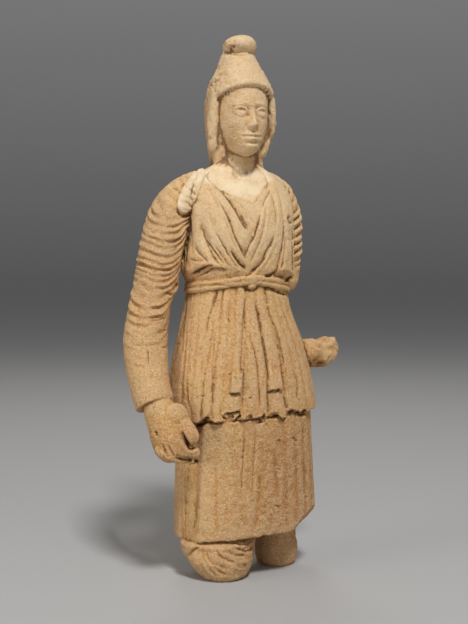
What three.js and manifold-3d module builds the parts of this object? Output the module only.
// A draped standing woman in a tall soft cap, carved from one block of limestone.
// The legs are broken below the knees, so it stands on two stumps. The left arm is lost from the
// elbow, apart from a broken stub at the hip.
// Millimetres, +Z up, +X to the figure's own left, the front faces -Y.

import * as THREE from "three";
import { mergeVertices } from "three/addons/utils/BufferGeometryUtils.js";
import Module from "manifold-3d";

const wasm = await Module();
wasm.setup();

const TURN = Math.PI * 2;

// Driving heights of the figure above the ground. The skirt and the stumps run up inside the cloth
// above them as far as their own tops.
const TOP = 1279;
const CAP_BRIM = 1128;
const HEAD_CENTRE = 1078;
const BELT = 694;
const OVERFOLD_HEM = 378;
const SKIRT_HEM = 100;
const SKIRT_TOP = 430;
const STUMP_TOP = 140;

// The middle of the figure's box in the plan that it is first laid out in.
const BOX_CENTRE = [-23.2, -15.1];

const STONE = { color: 0xcaa77f, roughness: 0.95, metalness: 0 };

// Fineness of the rings.
const OVERFOLD_COLUMNS = 100;
const BELT_COLUMNS = 28;
const BODICE_COLUMNS = 34;
const SKIRT_COLUMNS = 56;
const ARM_COLUMNS = 12;
const HEAD_COLUMNS = 20;

// How boxy the oval of the dress is, and of the skirt: 2 is a plain oval.
const DRESS_BOXINESS = 2.25;
const SKIRT_BOXINESS = 2.35;

// Carving of the cloth.
const OVERFOLD_PLEATS = 25;
const PLEAT_DEPTH = 4.5;
const SKIRT_FLUTES = 14;
const FLUTE_DEPTH = 2.6;
const BELT_HALF_HEIGHT = 12;
// From the belt's lower edge up: share of the half height, and relief of its two cords there.
const BELT_PROFILE = [
  [-1, -6],
  [-0.6, 8],
  [-0.1, 5],
  [0.1, 5],
  [0.6, 8],
  [1, -6],
];
const BELT_SAG = 27;
const BODICE_TOP = 962;
const NECKLINE = 868;
const NECKLINE_SLOPE = 0.75;
const NECKLINE_DEPTH = 7;
const FOLDS_PER_SIDE = 4;
const SLEEVE_RIDGES = 10;
const SLEEVE_RELIEF = 3.6;

// The wedge that takes the broken corner off the skirt: its size, its two turns and its middle.
const CHIP_SIZE = [80, 150, 60];
const CHIP_TILT = -0.93;
const CHIP_TURN = -0.69;
const CHIP_MIDDLE = [168.6, -73.3, 113.1];

const clamp01 = (value) => Math.min(1, Math.max(0, value));

const smooth = (from, to, value) => {
  const share = clamp01((value - from) / (to - from));
  return share * share * (3 - 2 * share);
};

const bell = (distance, width) => Math.exp(-((distance / width) ** 2));

const signedPower = (value, power) => Math.sign(value) * Math.abs(value) ** power;

// A smooth curve through rows of numbers, each row headed by where it stands.
function through(rows) {
  const size = rows[0].length - 1;
  const places = rows.map((row) => row[0]);
  const values = rows.flatMap((row) => row.slice(1));
  const curve = new THREE.CubicInterpolant(places, values, size, new Float64Array(size));
  return (place) => Array.from(curve.evaluate(THREE.MathUtils.clamp(place, places[0], places.at(-1))));
}

// A closed skin over a stack of rings, with a fan over each end.
// pointAt takes the row's share of the way up and the angle around.
function loft(rows, columns, pointAt) {
  const rings = [];
  for (let row = 0; row < rows; row += 1) {
    for (let column = 0; column < columns; column += 1) {
      rings.push(pointAt(row / (rows - 1), (column / columns) * TURN));
    }
  }
  const middle = (row) => {
    const centre = new THREE.Vector3();
    for (let column = 0; column < columns; column += 1) {
      centre.add(new THREE.Vector3(...rings[row * columns + column]));
    }
    return centre.divideScalar(columns).toArray();
  };
  const faces = [];
  for (let row = 0; row + 1 < rows; row += 1) {
    for (let column = 0; column < columns; column += 1) {
      const next = (column + 1) % columns;
      const [a, b] = [row * columns + column, row * columns + next];
      faces.push(a, b, b + columns, a, b + columns, a + columns);
    }
  }
  const bottom = rings.length;
  const top = bottom + 1;
  for (let column = 0; column < columns; column += 1) {
    const next = (column + 1) % columns;
    const last = (rows - 1) * columns;
    faces.push(bottom, next, column);
    faces.push(top, last + column, last + next);
  }
  const points = [...rings, middle(0), middle(rows - 1)].flat();
  return new THREE.BufferGeometry()
    .setAttribute("position", new THREE.Float32BufferAttribute(points, 3))
    .setIndex(faces);
}

// A limb: rings square to a smooth centre line. Each station is [x, y, z, radius across, radius deep].
// relief adds to the radius, from the share of the way along and the angle from the front.
function limb(stations, rows, columns, relief = () => 0) {
  const curve = through(stations.map((station, i) => [i, ...station]));
  const span = stations.length - 1;
  const step = 0.01;
  return loft(rows, columns, (share, angle) => {
    const [x, y, z, across, deep] = curve(share * span);
    const ahead = curve(Math.min(span, share * span + step));
    const behind = curve(Math.max(0, share * span - step));
    const along = new THREE.Vector3().fromArray(ahead);
    along.sub(new THREE.Vector3().fromArray(behind)).normalize();
    const front = new THREE.Vector3(0, -1, 0).addScaledVector(along, along.y).normalize();
    const side = new THREE.Vector3().crossVectors(front, along).negate();
    const lift = relief(share, angle);
    return new THREE.Vector3(x, y, z)
      .addScaledVector(front, Math.cos(angle) * (deep + lift))
      .addScaledVector(side, Math.sin(angle) * (across + lift))
      .toArray();
  });
}

// A flattened ball, turned about Z.
function ball(centre, radii, turn = 0, segments = 20) {
  const geometry = new THREE.SphereGeometry(1, segments, Math.round(segments * 0.6));
  geometry.scale(...radii);
  geometry.rotateZ(turn);
  geometry.translate(...centre);
  return geometry;
}

// Half-widths of the dress and where its middle is: [z, half width, front depth, back depth, x].
const trunkSection = through([
  [340, 184, 132, 110, 3],
  [375, 185, 134, 112, 3],
  [450, 177, 133, 109, 0],
  [550, 153, 120, 101, -3],
  [640, 127, 100, 91, -9],
  [682, 121, 95, 86, -8],
  [722, 134, 107, 90, -7],
  [800, 133, 115, 95, -4],
  [860, 135, 98, 96, -5],
  [905, 126, 72, 88, -6],
  [938, 92, 46, 70, -6],
  [962, 60, 34, 48, -6],
]);

const skirtSection = through([
  [70, 175, 112, 100, 12],
  [130, 175, 113, 101, 12],
  [200, 172, 115, 100, 10],
  [300, 168, 118, 100, 8],
  [380, 165, 123, 99, 6],
  [450, 160, 120, 97, 5],
]);

// A point on a boxy oval of that section, pushed out by relief.
function onSection([halfWidth, front, back, middle], angle, z, relief, boxiness) {
  const power = 2 / boxiness;
  const depth = Math.cos(angle) > 0 ? front : back;
  const out = new THREE.Vector2(Math.sin(angle) / halfWidth, -Math.cos(angle) / depth).normalize();
  return [
    middle + halfWidth * signedPower(Math.sin(angle), power) + out.x * relief,
    -depth * signedPower(Math.cos(angle), power) + out.y * relief,
    z,
  ];
}

// How far the belt hangs below its knot at that angle from the front.
const beltDrop = (angle) => {
  const liftBehind = 0.25 * bell(Math.cos(angle) + 1, 0.5);
  return BELT_SAG * Math.abs(Math.sin(angle / 2)) ** 0.8 * (1 - liftBehind);
};

// Levels of a ring stack, evenly spaced.
const levelsBetween = (from, to, rows) => (share) => {
  const steps = rows - 1;
  return THREE.MathUtils.lerp(from, to, Math.round(share * steps) / steps);
};

// The pleated overfold of the dress, from its zigzag hem up to the belt.
function overfold() {
  const rows = 5;
  const level = levelsBetween(OVERFOLD_HEM, BELT, rows);
  return loft(rows, OVERFOLD_COLUMNS, (share, angle) => {
    const height = level(share);
    const toHem = 1 - smooth(OVERFOLD_HEM, OVERFOLD_HEM + 70, height);
    const wave = Math.cos(angle * OVERFOLD_PLEATS);
    const z = height - beltDrop(angle) * (1 - toHem) + (14 * Math.sin(angle) - 4 * wave) * toHem;
    const depth = PLEAT_DEPTH * (0.35 + 0.65 * (1 - share));
    return onSection(trunkSection(z), angle, z, depth * wave, DRESS_BOXINESS);
  });
}

// The two cords of the belt, as one band that sags to the sides.
function belt() {
  return loft(BELT_PROFILE.length, BELT_COLUMNS, (share, angle) => {
    const [level, relief] = BELT_PROFILE[Math.round(share * (BELT_PROFILE.length - 1))];
    const z = BELT + level * BELT_HALF_HEIGHT - beltDrop(angle);
    return onSection(trunkSection(z), angle, z, relief, DRESS_BOXINESS);
  });
}

// The bloused upper part of the dress, from the belt to the neck, sunk a little inside the neckline.
function bodice() {
  const rows = 9;
  const level = levelsBetween(BELT - 2, BODICE_TOP, rows);
  return loft(rows, BODICE_COLUMNS, (share, angle) => {
    const height = level(share);
    const z = height - beltDrop(angle) * (1 - smooth(BELT, BELT + 110, height));
    const section = trunkSection(z);
    const aside = Math.abs(section[0] * Math.sin(angle));
    const inside = Math.cos(angle) > 0 ? smooth(0, 22, (height - NECKLINE) * NECKLINE_SLOPE - aside) : 0;
    return onSection(section, angle, z, -NECKLINE_DEPTH * inside, DRESS_BOXINESS);
  });
}

// Ridges of cloth that fall from each shoulder and close on the knot of the belt.
function bodiceFolds() {
  const ridges = [];
  for (const side of [-1, 1]) {
    for (let i = 0; i < FOLDS_PER_SIDE; i += 1) {
      const spread = i / (FOLDS_PER_SIDE - 1);
      const stations = [];
      for (const along of [0, 0.33, 0.67, 1]) {
        const z = THREE.MathUtils.lerp(940 - 30 * spread, BELT + 8 + 22 * spread, along);
        const startAngle = 0.62 + 0.72 * spread;
        const endAngle = 0.03 + 0.42 * spread;
        const sag = 0.2 * spread * Math.sin(along * Math.PI);
        const angle = side * (THREE.MathUtils.lerp(startAngle, endAngle, along ** 0.9) + sag);
        stations.push([...onSection(trunkSection(z), angle, z, -1, DRESS_BOXINESS), 12 - 4 * along, 7]);
      }
      ridges.push(limb(stations, 6, 6));
    }
  }
  return ridges;
}

function skirt() {
  return loft(4, SKIRT_COLUMNS, (share, angle) => {
    const level = THREE.MathUtils.lerp(SKIRT_HEM, SKIRT_TOP, share);
    const z = level + (1 - share) * (12 * Math.sin(angle) + 4 * Math.cos(angle));
    const flutes = FLUTE_DEPTH * Math.cos(angle * SKIRT_FLUTES);
    return onSection(skirtSection(z), angle, z, flutes, SKIRT_BOXINESS);
  });
}

// The two broken shins, cut flat where they stand: [z, x, y, half width, half depth].
const rightShin = through([
  [0, -60, -46, 46, 46],
  [10, -61, -46, 58, 54],
  [40, -65, -42, 76, 66],
  [73, -68, -34, 86, 72],
  [86, -66, -32, 86, 70],
  [98, -52, -14, 74, 44],
  [140, -46, -8, 66, 36],
]);
const leftShin = through([
  [0, 103, 26, 45, 48],
  [10, 104, 26, 48, 51],
  [80, 102, 24, 50, 53],
  [140, 100, 20, 52, 56],
]);

function shin(section, ridges) {
  return loft(7, 16, (share, angle) => {
    const z = STUMP_TOP * share;
    const [x, y, across, deep] = section(z);
    const wrinkles = ridges * Math.cos((z + 26 * Math.cos(angle)) * 0.3) * (z > 8 ? 1 : 0);
    return [x + (across + wrinkles) * Math.sin(angle), y - (deep + wrinkles) * Math.cos(angle), z];
  });
}

// Crosswise ridges of a bunched sleeve: crescents that sag at the front.
const sleeveRidges = (count, strength) => (share, angle) => {
  const turn = share * count + 0.55 * Math.cos(angle - 0.5);
  return strength * Math.cos(turn * TURN) * (1 - smooth(0.62, 0.85, share));
};

function rightArm() {
  return limb(
    [
      [-110, 13, 912, 38, 46],
      [-146, 12, 886, 44, 50],
      [-174, 12, 846, 48, 53],
      [-190, 14, 780, 52, 55],
      [-204, 16, 705, 51, 53],
      [-221, 16, 632, 49, 51],
      [-232, 13, 565, 51, 52],
      [-233, 0, 505, 51, 52],
      [-232, -25, 452, 45, 46],
      [-230, -48, 408, 39, 41],
    ],
    28,
    ARM_COLUMNS,
    sleeveRidges(SLEEVE_RIDGES, SLEEVE_RELIEF),
  );
}

function leftArm() {
  return limb(
    [
      [84, 20, 915, 38, 44],
      [116, 28, 893, 42, 46],
      [128, 38, 850, 45, 48],
      [131, 46, 780, 46, 48],
      [130, 50, 715, 44, 46],
      [124, 50, 672, 32, 36],
    ],
    16,
    ARM_COLUMNS,
    sleeveRidges(6, SLEEVE_RELIEF),
  );
}

// The stub of the lost forearm, broken off beyond the hip.
function leftStub() {
  return limb(
    [
      [110, -6, 513, 34, 34],
      [165, -20, 514, 35, 35],
      [190, -28, 517, 38, 38],
      [216, -35, 516, 38, 38],
      [234, -40, 514, 19, 19],
    ],
    8,
    14,
  );
}

// The closed right hand against the skirt.
function rightHand() {
  const palm = limb(
    [
      [-228, -50, 416, 32, 36],
      [-217, -66, 382, 38, 42],
      [-199, -80, 340, 41, 42],
      [-187, -84, 300, 35, 36],
      [-184, -84, 282, 22, 26],
    ],
    7,
    12,
  );
  const parts = [palm];
  const fingers = 4;
  for (let i = 0; i < fingers; i += 1) {
    const z = 352 - 20 * i;
    parts.push(ball([-166 + 3 * i, -104 + 4 * i, z], [30, 14, 11], 0.25, 8));
  }
  parts.push(ball([-182, -118, 372], [15, 13, 33], 0, 10));
  return parts;
}

function neck() {
  return limb(
    [
      [-6, 12, 925, 56, 54],
      [-6, 12, 955, 49, 50],
      [-5, 8, 990, 46, 50],
      [-4, 4, 1040, 46, 52],
    ],
    4,
    16,
  );
}

// The face is a plain oval of usual proportions, with brow, nose, mouth and chin.
function face() {
  const [halfWidth, halfDepth, halfHeight] = [62, 92, 100];
  return loft(13, HEAD_COLUMNS, (share, angle) => {
    const up = -Math.cos(share * Math.PI);
    const ring = Math.sin(share * Math.PI) ** 0.9 * (1 - 0.1 * smooth(0, -1, up));
    const z = HEAD_CENTRE + halfHeight * up;
    const x = halfWidth * ring * Math.sin(angle);
    const front = Math.max(0, Math.cos(angle)) ** 2;
    const nose = 13 * bell(x, 10) * bell(up + 0.3, 0.14) + 6 * bell(x, 10) * bell(up + 0.08, 0.16);
    const brow = 4 * bell(up - 0.14, 0.1) * bell(Math.abs(x) - 24, 20);
    const eyes = -5 * bell(up + 0.02, 0.07) * bell(Math.abs(x) - 26, 12);
    const mouth = 5 * bell(x, 18) * bell(up + 0.53, 0.08);
    const chin = 6 * bell(x, 20) * bell(up + 0.8, 0.12);
    const relief = (nose + brow + eyes + mouth + chin) * front;
    return [-4 + x, -2 - (halfDepth * ring + relief) * Math.cos(angle), z];
  });
}

// The cap with its tip folded forward, and the flaps that hang from it.
function cap() {
  const section = through([
    [1040, 76, 20, 94, 0],
    [1090, 80, 36, 98, 0],
    [1122, 81, 82, 98, 0],
    [1146, 77, 93, 93, 0],
    [1172, 68, 82, 84, 0],
    [1196, 52, 66, 67, 0],
    [1222, 42, 51, 54, 0],
    [1238, 37, 40, 42, 0],
  ]);
  const crown = loft(9, HEAD_COLUMNS, (share, angle) => {
    const z = THREE.MathUtils.lerp(1046, 1238, share);
    const [halfWidth, front, back] = section(z);
    const depth = Math.cos(angle) > 0 ? front : back;
    return [-4 + halfWidth * Math.sin(angle), -depth * Math.cos(angle), z];
  });
  const brimRoll = loft(5, HEAD_COLUMNS, (share, angle) => {
    const turn = (share - 0.5) * Math.PI;
    const arch = 1 - Math.cos(angle);
    const out = 8 * Math.cos(turn);
    const z = CAP_BRIM + 9 - 11 * arch + 10 * Math.sin(turn);
    return [-4 + (77 + out) * Math.sin(angle), -(89 + out) * Math.cos(angle), z];
  });
  const knob = ball([-5, -12, TOP - 25], [37, 47, 25], 0, 14);
  const neckGuard = limb(
    [
      [-2, 52, 1120, 74, 46],
      [-1, 52, 1060, 72, 46],
      [-2, 48, 1010, 64, 42],
      [-4, 44, 960, 60, 36],
    ],
    5,
    18,
  );
  const rightFlap = limb(
    [
      [-75, 4, 1122, 9, 22],
      [-76, 2, 1070, 10, 24],
      [-74, 4, 1010, 10, 22],
      [-70, 8, 990, 7, 16],
    ],
    5,
    8,
  );
  const leftFlap = limb(
    [
      [72, 4, 1122, 9, 24],
      [76, 4, 1070, 11, 26],
      [70, 6, 1030, 11, 24],
      [56, 8, 992, 9, 18],
    ],
    5,
    8,
  );
  return [crown, brimRoll, knob, neckGuard, rightFlap, leftFlap];
}

// The end of a cap ribbon that lies on the right shoulder.
function shoulderRibbon() {
  return limb(
    [
      [-84, 4, 955, 12, 12],
      [-104, -22, 936, 13, 14],
      [-124, -46, 902, 14, 14],
      [-136, -56, 872, 15, 12],
    ],
    6,
    8,
  );
}

// The knot of the belt and the two ends that hang from it down the skirt.
function beltKnot() {
  const knot = ball([2, -106, BELT - 1], [20, 9, 15], 0, 12);
  const end = (side) =>
    limb(
      [
        [2 + side * 6, -96, BELT - 12, 7, 7],
        [2 + side * 17, -113, BELT - 90, 10, 6],
        [2 + side * 34 - 4, -131, BELT - 210, 12, 7],
        [2 + side * 42 - 6, -138, BELT - 262, 15, 8],
      ],
      7,
      8,
    );
  return [knot, end(-1), end(1)];
}

// The corner of the skirt that is knocked off at the figure's left, as the wedge to take away.
function hemChip() {
  const geometry = new THREE.BoxGeometry(...CHIP_SIZE);
  geometry.rotateY(CHIP_TILT);
  geometry.rotateZ(CHIP_TURN);
  geometry.translate(...CHIP_MIDDLE);
  return geometry;
}

// One solid from a closed geometry.
function solid(geometry) {
  const bare = geometry.clone();
  bare.deleteAttribute("normal");
  bare.deleteAttribute("uv");
  const merged = mergeVertices(bare, 1e-3);
  const faces = [];
  const index = merged.index.array;
  for (let i = 0; i < index.length; i += 3) {
    const [a, b, c] = index.slice(i, i + 3);
    if (a !== b && b !== c && a !== c) {
      faces.push(a, b, c);
    }
  }
  return new wasm.Manifold(
    new wasm.Mesh({
      numProp: 3,
      vertProperties: merged.attributes.position.array,
      triVerts: new Uint32Array(faces),
    }),
  );
}

function statue() {
  const parts = [
    overfold(),
    belt(),
    bodice(),
    ...bodiceFolds(),
    skirt(),
    shin(rightShin, 1.6),
    shin(leftShin, 1),
    rightArm(),
    leftArm(),
    leftStub(),
    ...rightHand(),
    neck(),
    face(),
    ...cap(),
    shoulderRibbon(),
    ...beltKnot(),
  ];
  const joined = parts.map(solid).reduce((whole, part) => whole.add(part));
  const broken = joined.subtract(solid(hemChip()));
  // Stone fills any pocket that is left closed between two parts.
  const outer = broken.decompose().reduce((big, body) => (body.volume() > big.volume() ? body : big));
  const carved = outer.getMesh();
  const geometry = new THREE.BufferGeometry()
    .setAttribute("position", new THREE.BufferAttribute(carved.vertProperties, carved.numProp))
    .setIndex(new THREE.BufferAttribute(carved.triVerts, 1));
  geometry.translate(-BOX_CENTRE[0], -BOX_CENTRE[1], 0);
  geometry.computeVertexNormals();
  const mesh = new THREE.Mesh(geometry, new THREE.MeshStandardMaterial(STONE));
  mesh.name = "statue";
  return mesh;
}

const figure = new THREE.Group();
figure.add(statue());

export default figure;
